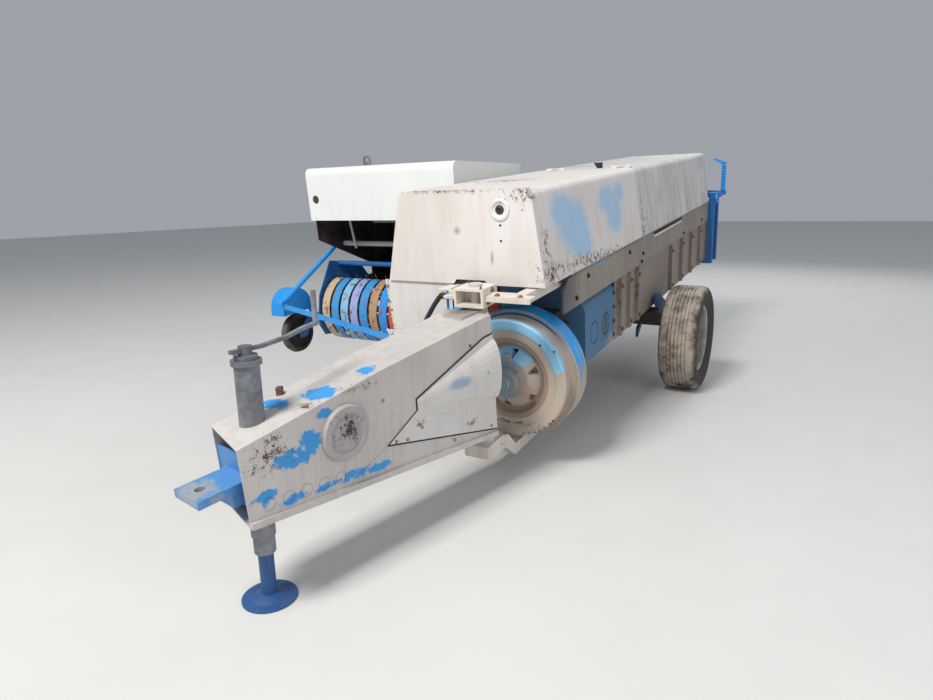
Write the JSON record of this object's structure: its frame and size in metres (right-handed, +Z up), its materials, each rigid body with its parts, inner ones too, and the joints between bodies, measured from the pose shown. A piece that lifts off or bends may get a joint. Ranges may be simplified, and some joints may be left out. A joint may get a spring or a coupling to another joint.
{
  "type": "square baler",
  "caption": "Towed square baler with side pickup, bale chamber, flywheel under a hood, swinging sheet drawbar and screw jack.",
  "frame": {"origin": "middle of the whole machine's box, on the floor that its wheels and jack stand on", "axes": "+Z up, -Y forwards to the hitch, +X to the machine's left, the bale chamber's side"},
  "size_m": [2.4325, 5.368, 1.6256],
  "materials": {
    "grey_paint": "weathered light grey paint over blue",
    "white_paint": "white gloss paint",
    "blue_paint": "worn blue paint",
    "bare_steel": "greasy, rusted steel",
    "tyre": "worn, dusty",
    "hose": "matt"
  },
  "bodies": {
    "root": {"chamber_left": "grey_paint", "chamber_right": "grey_paint", "chamber_floor": "grey_paint", "chamber_top": "grey_paint", "left_rail": "grey_paint", "right_rail": "grey_paint", "plunger_box": "blue_paint", "gearbox": "bare_steel", "front_frame": "grey_paint", "pivot_arm": "grey_paint", "front_panel": "grey_paint", "main_axle": "bare_steel", "rear_hood": "grey_paint", "feeder_hood": "white_paint", "feeder_box": "bare_steel", "packer": "grey_paint", "knotter_stack": "blue_paint", "needle_frame": "blue_paint", "density_frame": "blue_paint", "density_springs": "blue_paint", "twine_box": "grey_paint", "lifting_eye": "bare_steel", "hydraulic_hose": "hose", "guard_bow": "blue_paint"},
    "front_hood": {"front_hood": "grey_paint"},
    "twine_lid": {"twine_lid": "grey_paint"},
    "flywheel": {"flywheel": "blue_paint", "clutch_hub": "bare_steel"},
    "drawbar": {"drawbar_box": "grey_paint", "drawbar_cover": "grey_paint", "round_cover": "grey_paint", "hitch_plate": "blue_paint", "jack_tube": "grey_paint", "jack_crank": "bare_steel"},
    "jack_leg": {"jack_leg": "blue_paint"},
    "left_wheel": {"left_rim": "bare_steel", "left_tyre": "tyre"},
    "right_wheel": {"right_rim": "bare_steel", "right_tyre": "tyre"},
    "pickup": {"pickup_frame": "blue_paint", "pickup_bands": "blue_paint", "pickup_shield": "blue_paint"},
    "reel": {"pickup_reel": "bare_steel"},
    "gauge_wheel": {"gauge_wheel": "tyre"}
  },
  "joints": [
    {"name": "left_wheel_spin", "type": "hinge", "parent": "root", "child": "left_wheel", "pos_m": [1.09875, 0.65982, 0.345], "axis": [1, 0, 0], "continuous": true},
    {"name": "right_wheel_spin", "type": "hinge", "parent": "root", "child": "right_wheel", "pos_m": [-0.76625, 0.65982, 0.31], "axis": [1, 0, 0], "continuous": true},
    {"name": "flywheel_spin", "type": "hinge", "parent": "root", "child": "flywheel", "pos_m": [0.64575, -1.05602, 0.45186], "axis": [0, 0.9962, 0.0872], "continuous": true},
    {"name": "drawbar_swing", "type": "hinge", "parent": "root", "child": "drawbar", "pos_m": [0.61375, -1.3249, 0.42733], "axis": [0, -0.0872, 0.9962], "range_deg": [0, 24]},
    {"name": "jack_slide", "type": "slide", "parent": "drawbar", "child": "jack_leg", "axis": [0, 0, 1], "range_m": [0, 0.14]},
    {"name": "front_hood_lift", "type": "hinge", "parent": "root", "child": "front_hood", "pos_m": [0.63375, 0.18678, 1.44927], "axis": [-1, 0, 0], "range_deg": [0, 50]},
    {"name": "twine_lid_lift", "type": "hinge", "parent": "root", "child": "twine_lid", "pos_m": [0.07375, 0.58615, 1.18708], "axis": [0, 0.9962, 0.0872], "range_deg": [0, 80]},
    {"name": "pickup_lift", "type": "hinge", "parent": "root", "child": "pickup", "pos_m": [-0.36625, -0.07543, 0.71734], "axis": [1, 0, 0], "range_deg": [0, 20]},
    {"name": "reel_spin", "type": "hinge", "parent": "pickup", "child": "reel", "pos_m": [-0.36625, -0.36383, 0.57165], "axis": [1, 0, 0], "continuous": true},
    {"name": "gauge_wheel_spin", "type": "hinge", "parent": "pickup", "child": "gauge_wheel", "pos_m": [-1.16125, -0.66262, 0.43006], "axis": [1, 0, 0], "continuous": true}
  ]
}
